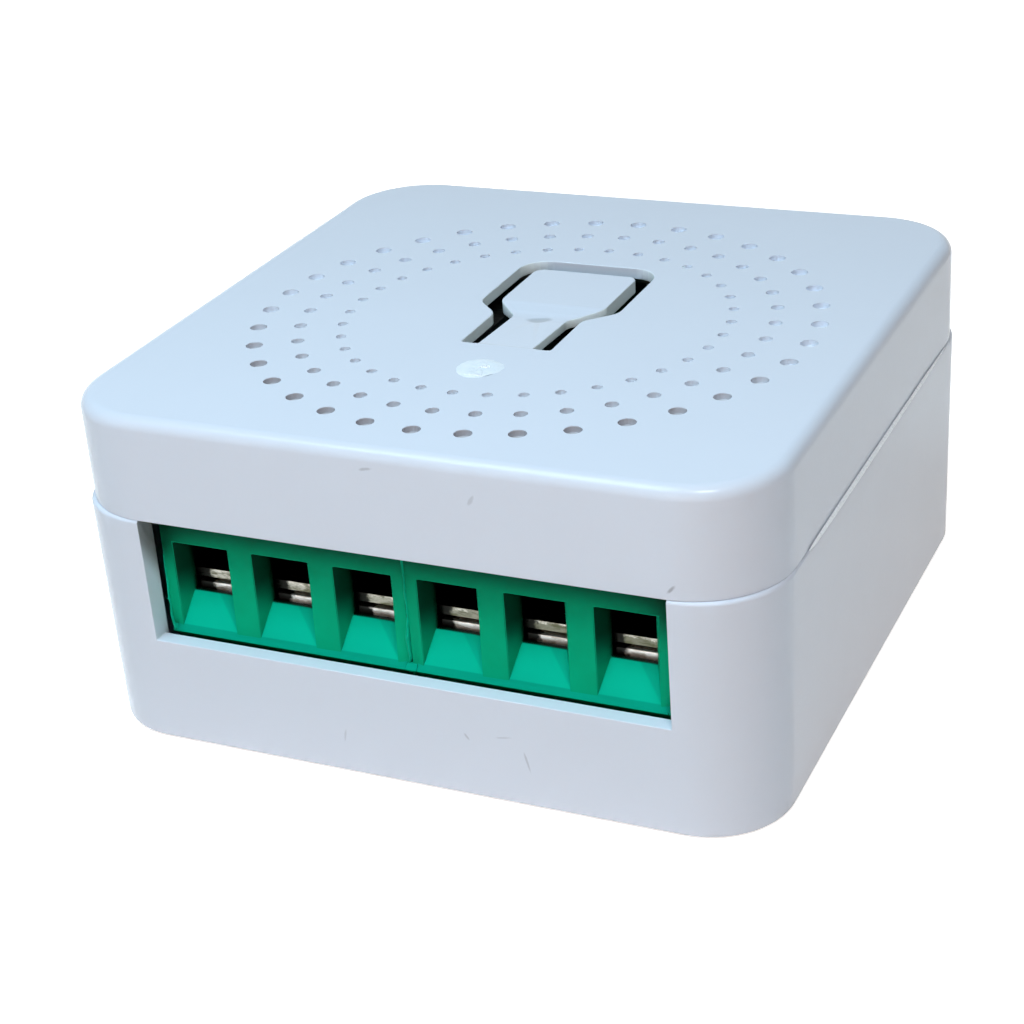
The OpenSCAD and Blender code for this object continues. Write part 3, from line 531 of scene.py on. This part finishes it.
WHITE = white_plastic()
GREEN = green_plastic()
NICKEL = plated_metal("nickel_plate", (0.50, 0.47, 0.40, 1), (0.10, 0.095, 0.06, 1), 0.14, 0.32, 2600.0,
                      edge=-0.35 * MM, jaw=True)
TIN = plated_metal("tin_plate", (1.0, 0.98, 0.95, 1), (0.62, 0.58, 0.53, 1), 0.30, 0.44, 2200.0,
                   edge=-0.2 * MM, metal=0.75)
ZINC = plated_metal("zinc_plate", (0.66, 0.67, 0.69, 1), (0.42, 0.42, 0.42, 1), 0.24, 0.40, 3000.0)
TORN_WHITE = plain_part("torn_white", (0.81, 0.845, 0.89, 1), (0.87, 0.89, 0.93, 1), 0.5, 1800.0,
                        depth=0.01 * MM, specular=0.2)
# Near white: a painted highlight on the rim's burr
GLINT_EDGE_WHITE = plain_part("painted_glint_edge", (0.94, 0.96, 1.0, 1), (0.97, 0.98, 1.0, 1), 0.3, 1800.0, specular=1.0)
PALE_GREEN = plain_part("thin_green", (0.0, 0.42, 0.24, 1), (0.0, 0.52, 0.32, 1), 0.5, 1800.0, specular=0.08)
FINISH_OF_SLOT = {
    "board_laminate": plain_part("solder_resist", (0.01, 0.12, 0.05, 1), (0.02, 0.17, 0.08, 1), 0.32),
    "relay_blue": plain_part("relay_blue_case", (0.02, 0.07, 0.30, 1), (0.03, 0.10, 0.38, 1), 0.34),
    "dark_moulding": plain_part("black_moulding", (0.015, 0.015, 0.017, 1), (0.03, 0.03, 0.032, 1), 0.55),
    "radio_laminate": plain_part("blue_resist", (0.006, 0.02, 0.07, 1), (0.01, 0.035, 0.10, 1), 0.34),
    # Painted shade: the shield can is bright tin, coloured near black for the dark seen through the slot
    "shield_tin": plated_metal("shield_can_painted_dark", (0.10, 0.10, 0.10, 1), (0.05, 0.05, 0.05, 1), 0.4, 0.55, 1500.0),
    "switch_plunger": plain_part("plunger_black", (0.012, 0.012, 0.012, 1), (0.025, 0.025, 0.025, 1), 0.5),
    "lamp_lens": plain_part("milky_lens", (0.70, 0.80, 0.82, 1), (0.78, 0.86, 0.88, 1), 0.22),
    "capacitor_sleeve": plain_part("shrink_sleeve", (0.012, 0.018, 0.035, 1), (0.02, 0.03, 0.05, 1), 0.28),
    "ferrite_winding": plain_part("lacquered_wire", (0.20, 0.06, 0.02, 1), (0.32, 0.11, 0.03, 1), 0.38,
                                  1600.0),
    "varistor_coat": plain_part("dipped_epoxy", (0.03, 0.11, 0.34, 1), (0.05, 0.15, 0.42, 1), 0.3),
    "resistor_coat": plain_part("resistor_lacquer", (0.06, 0.22, 0.16, 1), (0.10, 0.30, 0.22, 1), 0.36),
    "pale_moulding": plain_part("ivory_moulding", (0.66, 0.65, 0.58, 1), (0.74, 0.73, 0.66, 1), 0.5),
    "tinned_contact": TIN,
    "zinc_screw": ZINC,
    "nickel_cage": NICKEL,
    "white_housing": WHITE,
    "green_terminal": GREEN,
}


# Pieces

# Turns in degrees between faces: up to the first they are one flat face, past the second their edge is
# rounded, and past the third an edge that is left sharp stays a crease
FLAT_TURN = 0.6
SHARP_TURN = 28.0
CREASE_TURN = 50.0
MERGE_REACH = 0.0002 * MM
# Level faces inside this reach are shaded plain, and the border outside it is rounded
LEVEL_REACH = 18.8 * MM
# Edges of a dot: how deep they lie at most, and how long one step of their circle is at most
DOT_EDGE_DEPTH = 0.4 * MM
DOT_EDGE_STEP = 0.6 * MM
SLOT_REACH = 1.5 * MM
ROOT_REACH = 0.06 * MM


def add_piece(name, bm, finish, body):
    """Makes a finished mesh into a piece that rides on a body."""
    mesh = bpy.data.meshes.new(name)
    bm.to_mesh(mesh)
    bm.free()
    mesh.materials.append(finish)
    piece = bpy.data.objects.new(name, mesh)
    scene.collection.objects.link(piece)
    flat = piece.modifiers.new("flat_faces", "WEIGHTED_NORMAL")
    flat.keep_sharp = True
    flat.use_face_influence = True
    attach(piece, body)
    return piece


def shade_soft(bm):
    """Smooth shading, with creases only where a plain sharp edge is left."""
    for face in bm.faces:
        face.smooth = True
    for edge in bm.edges:
        edge.smooth = edge.calc_face_angle(0.0) < math.radians(CREASE_TURN)


def level_faces_flat(bm):
    """Plain shading on the level faces round the slot and the dots, inside the rounded border."""
    for face in bm.faces:
        reach = max(max(abs(vert.co.x), abs(vert.co.y)) for vert in face.verts)
        if face.normal.z > 0.99999 and reach < LEVEL_REACH:
            face.smooth = False


def softened(node, width, segments, keep):
    """A copy of a node's solid with its sharp edges rounded, apart from those that keep picks out."""
    bm = bmesh.new()
    bm.from_mesh(nodes_of_frame[node].data)
    bmesh.ops.remove_doubles(bm, verts=bm.verts[:], dist=MERGE_REACH)
    bmesh.ops.dissolve_limit(bm, angle_limit=math.radians(FLAT_TURN), verts=bm.verts[:], edges=bm.edges[:])
    sharp = [edge for edge in bm.edges if edge.calc_face_angle(0.0) > math.radians(SHARP_TURN)]
    rounded = [edge for edge in sharp if keep is None or not keep(edge)]
    bmesh.ops.bevel(bm, geom=rounded, offset=width, offset_type="OFFSET", segments=segments, profile=0.5,
                    affect="EDGES", clamp_overlap=False, loop_slide=False, material=-1,
                    face_strength_mode="ALL")
    bmesh.ops.triangulate(bm, faces=[face for face in bm.faces if len(face.verts) > 4])
    shade_soft(bm)
    return bm


def dress(node, name, finish, body, width, segments=2, keep=None, level=False):
    """Puts a softened, finished copy of a node in its place."""
    bm = softened(node, width, segments, keep)
    if level:
        level_faces_flat(bm)
    piece = add_piece(name, bm, finish, body)
    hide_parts(node)


def on_root_line(edge):
    """True along the line where the sprung tongue grows out of the cover."""
    return all(abs(vert.co.y - HINGE_Y) < ROOT_REACH and vert.co.z > SPLIT_Z for vert in edge.verts)


def near_slot(edge):
    """True inside the box that holds the slot round the tongue."""
    return all(tongue_low.x - SLOT_REACH < vert.co.x < tongue_high.x + SLOT_REACH
               and tongue_low.y - SLOT_REACH < vert.co.y < tongue_high.y + SLOT_REACH for vert in edge.verts)


def in_dot(edge):
    """True on the small round dots and the gate's mark, which keep crisp edges."""
    high = all(vert.co.z > TOP_Z - DOT_EDGE_DEPTH for vert in edge.verts)
    return high and edge.calc_length() < DOT_EDGE_STEP and not near_slot(edge)


def crisp_on_cover(edge):
    return on_root_line(edge) or in_dot(edge)


dress("base_shell", "moulded_base", WHITE, "housing", 0.07 * MM)
dress("top_cover", "moulded_cover", WHITE, "housing", 0.06 * MM, keep=crisp_on_cover,
      level=True)
dress("button_tongue", "moulded_button", WHITE, "button", 0.06 * MM, keep=on_root_line)
dress("left_terminal_block", "left_green_block", GREEN, "housing", 0.06 * MM)
dress("right_terminal_block", "right_green_block", GREEN, "housing", 0.06 * MM)
dress("terminal_contacts", "tinned_bars", TIN, "housing", 0.05 * MM)
for pole in range(1, POLES + 1):
    dress(f"wire_cage_{pole}", f"stamped_cage_{pole}", NICKEL, f"cage_{pole}", 0.03 * MM, 1)
    dress(f"clamp_screw_{pole}", f"slotted_screw_{pole}", ZINC, f"screw_{pole}", 0.06 * MM)


# Small marks that moulding left, placed from the photograph

# Scar of the gate: its middle, reach, height, depth and grain, and its outline as turns in degrees, each with
# its share of the reach
GATE_PLACE = Vector((0.57 * MM, -9.3 * MM, TOP_Z))
GATE_REACH = 1.32 * MM
GATE_RISE = 0.09 * MM
GATE_SINK = 0.10 * MM
GATE_GRAIN = 0.05 * MM
GATE_OUTLINE = ((-180, 1.0), (-150, 0.95), (-108, 1.02), (-66, 0.97), (-40, 0.86), (-8, 0.95), (17, 1.06),
                (76, 0.98), (133, 1.02), (180, 1.0))
# Chip in the front of the scar: its corners in millimetres, its drop at the back and its rise in front
CHIP = ((0.50, 0.35), (0.05, 0.10), (-0.42, -1.05), (0.62, -1.05))
CHIP_BACK = CHIP[0][1]
CHIP_FRONT = CHIP[2][1]
CHIP_DROP = 0.12 * MM
CHIP_RISE = 0.05 * MM


def inside_outline(x, y, outline):
    """True where a point lies on the inner side of every edge of an outline that turns left."""
    ends = outline[1:] + outline[:1]
    return all((b[0] - a[0]) * (y - a[1]) - (b[1] - a[1]) * (x - a[0]) > 0.0 for a, b in zip(outline, ends))


def gate_share(flat):
    """Share of the scar's reach in the direction of a point, between its outline's turns."""
    turn = math.degrees(math.atan2(flat.y, flat.x))
    for (low, first), (high, second) in zip(GATE_OUTLINE, GATE_OUTLINE[1:]):
        if low <= turn <= high:
            return first + (second - first) * (turn - low) / (high - low)
    return 1.0


def make_gate_scar():
    """Torn stub of the sprue: a low rough lump that fills its recess, with a chip tilted in its front."""
    bm = bmesh.new()
    bmesh.ops.create_icosphere(bm, subdivisions=6, radius=1.0)
    for vert in bm.verts:
        flat = Vector((vert.co.x, vert.co.y, 0.0))
        edge_share = min(flat.length, 1.0) ** 2
        reach = GATE_REACH * gate_share(flat) * (1.0 + 0.05 * noise.noise(flat.normalized() * 4.0))
        grain = noise.fractal(flat * 3.5, 1.0, 2.0, 4) * GATE_GRAIN * (1.0 - edge_share)
        if vert.co.z < 0.0:
            height = -GATE_SINK * (1.0 - edge_share)
        else:
            height = GATE_RISE * (1.0 - edge_share ** 2) + grain
            x, y = flat.x * GATE_REACH / MM, flat.y * GATE_REACH / MM
            if inside_outline(x, y, CHIP):
                height += (CHIP_DROP + CHIP_RISE) * (CHIP_BACK - y) / (CHIP_BACK - CHIP_FRONT) - CHIP_DROP
        vert.co = GATE_PLACE + flat * reach + Vector((0.0, 0.0, height))
    bmesh.ops.recalc_face_normals(bm, faces=bm.faces[:])
    shade_soft(bm)
    add_piece("gate_scar", bm, TORN_WHITE, "housing")


def swept(bm, outline, path, grow):
    """Extrudes a closed outline from each path point to the next, scaled by its growth there."""
    start = [bm.verts.new(path[0] + corner * grow[0]) for corner in outline]
    cap = bm.faces.new(start)
    for step in range(1, len(path)):
        made = bmesh.ops.extrude_face_region(bm, geom=[cap])
        moved = [item for item in made["geom"] if isinstance(item, bmesh.types.BMVert)]
        for vert in moved:
            vert.co = path[step] + (vert.co - path[step - 1]) * (grow[step] / grow[step - 1])
        cap = [item for item in made["geom"] if isinstance(item, bmesh.types.BMFace)][0]
    bmesh.ops.recalc_face_normals(bm, faces=bm.faces[:])


# Flash on the blocks' edges: its section across the edge and out from the face
FLASH_SECTION = tuple(Vector((across, out, 0.0)) * MM for across, out in
                      ((-0.07, 0.05), (-0.05, -0.05), (0.0, -0.10), (0.05, -0.05), (0.07, 0.05)))
# Its course on the blocks' meeting edge and on the left edge: across and height in millimetres, and the share
# of the section
SEAM_FLASH = ((-0.02, 13.9, 0.5), (0.04, 13.0, 0.7), (0.06, 12.0, 0.8), (0.03, 11.3, 1.1), (0.06, 10.6, 0.7),
              (0.05, 9.9, 0.6), (0.0, 9.2, 1.3), (-0.09, 8.5, 1.7), (-0.05, 7.9, 1.5), (0.0, 7.4, 1.4),
              (-0.06, 7.05, 0.8))
SIDE_FLASH = ((0.02, 11.4, 0.3), (0.0, 10.4, 0.6), (0.01, 9.5, 0.8), (-0.04, 8.6, 1.0), (0.0, 8.2, 0.8),
              (-0.05, 7.5, 1.1), (0.04, 7.0, 1.3), (0.2, 6.7, 0.9))
# Spikes on the left edge in millimetres: across, height and length, and the radii of their foot and tip
SIDE_SPIKES = ((-0.12, 8.5, 0.22), (-0.02, 8.15, 0.12), (-0.05, 7.35, 0.14))
SPIKE_FOOT = 0.05 * MM
SPIKE_TIP = 0.012 * MM


def flash_path(rows, across):
    """Points of a flash, which follows the lip out at the foot, and its section's share at each."""
    points = []
    for x, z, share in rows:
        lip_share = min(max((LIP_TOP - z * MM) / (LIP_TOP - LIP_FOOT), 0.0), 1.0)
        points.append(Vector((across + x * MM, BLOCK_FACE - lip_share * LIP_OUT, z * MM)))
    return points, [share for x, z, share in rows]


def make_block_flash():
    """Thin wavy flash on the blocks' meeting edge and on the left block's outer edge."""
    bm = bmesh.new()
    for rows, across in ((SEAM_FLASH, left_high.x), (SIDE_FLASH, left_low.x)):
        path, grow = flash_path(rows, across)
        swept(bm, FLASH_SECTION, path, grow)
    turn = Matrix.Rotation(math.radians(-90.0), 4, "Y")
    for x, z, length in SIDE_SPIKES:
        place = Matrix.Translation((left_low.x + x * MM, BLOCK_FACE, z * MM))
        bmesh.ops.create_cone(bm, cap_ends=True, segments=5, radius1=SPIKE_FOOT, radius2=SPIKE_TIP,
                              depth=length * MM, matrix=place @ turn)
    add_piece("block_flash", bm, PALE_GREEN, "housing")


# Thin webs that close the lip's ends: their outline out from the face and down from the lip's top, the middle
# and half length of each, and the outline's share at one end, the middle and the other end
WEB_SECTION = tuple(Vector((0.0, out, up)) * MM for out, up in
                    ((0.03, 0.0), (-0.19, -0.42), (-0.19, -0.48), (0.03, -0.46)))
WEBS = ((left_high.x, 0.36 * MM), (left_low.x + 0.2 * MM, 0.14 * MM), (right_high.x - 0.18 * MM, 0.14 * MM))
WEB_GROW = (0.96, 1.0, 0.97)


def make_foot_web():
    bm = bmesh.new()
    for middle, half in WEBS:
        path = [Vector((middle + side * half, BLOCK_FACE, LIP_TOP)) for side in (-1.0, 0.0, 1.0)]
        swept(bm, WEB_SECTION, path, WEB_GROW)
    add_piece("foot_web", bm, GREEN, "housing")


# Burr on the base's rim: its section out from the side and up, and its course along the side in millimetres,
# each place with its share of the section
RIM_SECTION = tuple(Vector((out, 0.0, up)) * MM for out, up in
                    ((-0.10, -0.12), (0.06, -0.12), (0.12, -0.04), (0.10, 0.06), (-0.02, 0.15)))
RIM_ROWS = ((-13.6, 0.3), (-12.6, 0.8), (-9.0, 1.0), (-3.0, 1.1), (3.0, 1.0), (6.5, 0.8), (9.0, 0.9),
            (12.0, 0.5), (14.5, 0.2))


def make_rim_flash():
    """Thin burr on the base's rim, near white as a painted highlight along the split on the right."""
    bm = bmesh.new()
    path = [Vector((base_high.x, y * MM, SPLIT_Z)) for y, share in RIM_ROWS]
    swept(bm, RIM_SECTION, path, [share for y, share in RIM_ROWS])
    add_piece("rim_flash", bm, GLINT_EDGE_WHITE, "housing")


make_gate_scar()
make_block_flash()
make_foot_web()
make_rim_flash()

slot_of_node = {part["node"]: part["material_slot"] for part in frame["record"]["subparts"]}
for node_name, node_object in nodes_of_frame.items():
    node_object.data.materials.clear()
    node_object.data.materials.append(FINISH_OF_SLOT[slot_of_node[node_name]])


# Studio

# Floor of warm paper: half its side, its drop below the object, and the distances and shares of its white
PAPER = (1.0, 0.93, 0.89, 1.0)
FLOOR_HALF = 1.5
FLOOR_DROP = 0.02 * MM
FLOOR_WHITE = (0.03, 0.16, 0.66, 1.0)
# Room light: even, but with a dark zone in front of the right corner, its direction, share and soft edge
AMBIENT = (0.02, 0.022, 0.026, 1.0)
SEEN_WHITE = (1.0, 1.0, 1.0, 1.0)
DARK_TOWARDS = Vector((0.44, -0.80, 0.40)).normalized()
DARK_SHARE = 0.1
DARK_EDGE = (0.62, 0.92)
# Soft lamps, aimed at the object's middle: place, size, power, colour, and whether gloss shows them
MIDDLE = Vector((0.0, 0.0, 0.010))
LAMPS = {
    "window_left": ((-0.045, -0.066, 0.16), 0.08, 0.195, (0.58, 0.84, 1.0), True),
    "window_right": ((0.058, -0.085, 0.155), 0.04, 0.135, (0.84, 0.94, 1.0), True),
    "wall_front": ((0.03, -0.292, 0.06), 0.15, 0.150, (1.0, 0.52, 0.25), True),
    "wall_right": ((0.26, 0.0, 0.16), 0.20, 0.010, (1.0, 0.80, 0.70), True),
    "wall_rear": ((-0.16, 0.26, 0.028), 0.04, 0.42, (1.0, 0.90, 0.80), False),
    "wall_back": ((0.199, 0.167, 0.16), 0.20, 0.016, (1.0, 0.95, 0.85), True),
}


def seen_rays(shader):
    """1 for the rays that the picture and its reflections see, 0 for those that light the object."""
    path = shader.node("ShaderNodeLightPath").outputs
    seen = shader.math("MAXIMUM", path["Is Camera Ray"], path["Is Glossy Ray"])
    return shader.math("MAXIMUM", seen, path["Is Transmission Ray"])


def make_floor():
    """Paper that takes the object's shadow, with white added for seen rays, less of it near the object."""
    made = bpy.data.materials.new("floor_paper")
    made.use_nodes = True
    made.node_tree.nodes.clear()
    shader = Shader(made.node_tree)
    paper = shader.node("ShaderNodeBsdfDiffuse")
    paper.inputs["Color"].default_value = PAPER
    white = shader.span(shader.length(shader.place()), *FLOOR_WHITE)
    glow = shader.node("ShaderNodeEmission")
    shader.feed(glow.inputs["Strength"], shader.math("MULTIPLY", seen_rays(shader), white))
    both = shader.node("ShaderNodeAddShader")
    shader.feed(both.inputs[0], paper.outputs["BSDF"])
    shader.feed(both.inputs[1], glow.outputs["Emission"])
    out = shader.node("ShaderNodeOutputMaterial")
    shader.feed(out.inputs["Surface"], both.outputs["Shader"])
    bm = bmesh.new()
    bmesh.ops.create_grid(bm, x_segments=1, y_segments=1, size=FLOOR_HALF)
    mesh = bpy.data.meshes.new("floor")
    bm.to_mesh(mesh)
    bm.free()
    mesh.materials.append(made)
    floor = bpy.data.objects.new("floor", mesh)
    floor.location.z = cad_box[0].z - FLOOR_DROP
    scene.collection.objects.link(floor)


def make_world():
    """White for the rays that see it, and the room's dim light for the rest."""
    world = bpy.data.worlds.new("studio")
    scene.world = world
    world.use_nodes = True
    world.node_tree.nodes.clear()
    shader = Shader(world.node_tree)
    seen = seen_rays(shader)
    towards = shader.node("ShaderNodeVectorMath", operation="DOT_PRODUCT")
    shader.feed(towards.inputs[0], shader.node("ShaderNodeTexCoord").outputs["Generated"])
    shader.feed(towards.inputs[1], DARK_TOWARDS)
    room = shader.span(towards.outputs["Value"], *DARK_EDGE, 1.0, DARK_SHARE)
    sky = shader.node("ShaderNodeBackground")
    shader.feed(sky.inputs["Color"], shader.mix(seen, AMBIENT, SEEN_WHITE))
    shader.feed(sky.inputs["Strength"], shader.math("MAXIMUM", seen, room))
    out = shader.node("ShaderNodeOutputWorld")
    shader.feed(out.inputs["Surface"], sky.outputs["Background"])


def soft_box(name, place, size, power, colour, glint):
    lamp = bpy.data.lights.new(name, "AREA")
    lamp.shape = "SQUARE"
    lamp.size = size
    lamp.energy = power
    lamp.color = colour
    made = bpy.data.objects.new(name, lamp)
    made.location = place
    made.visible_glossy = glint
    made.rotation_mode = "QUATERNION"
    made.rotation_quaternion = (MIDDLE - Vector(place)).to_track_quat("-Z", "Y")
    scene.collection.objects.link(made)


def make_camera():
    camera = bpy.data.objects.new("camera", bpy.data.cameras.new("camera"))
    camera.data.sensor_fit = "HORIZONTAL"
    camera.data.sensor_width = 36.0
    camera.data.lens = CAMERA_LENS
    camera.data.clip_start = 0.005
    camera.data.clip_end = 10.0
    camera.location = CAMERA_PLACE
    look = Vector((-math.sin(CAMERA_AZIMUTH) * math.cos(CAMERA_ELEVATION),
                   math.cos(CAMERA_AZIMUTH) * math.cos(CAMERA_ELEVATION), -math.sin(CAMERA_ELEVATION)))
    camera.rotation_mode = "QUATERNION"
    camera.rotation_quaternion = look.to_track_quat("-Z", "Y") @ Quaternion((0.0, 0.0, 1.0), CAMERA_ROLL)
    scene.collection.objects.link(camera)
    scene.camera = camera


make_floor()
make_world()
for lamp_name, lamp_row in LAMPS.items():
    soft_box(lamp_name, *lamp_row)
make_camera()
scene.view_settings.view_transform = "Standard"
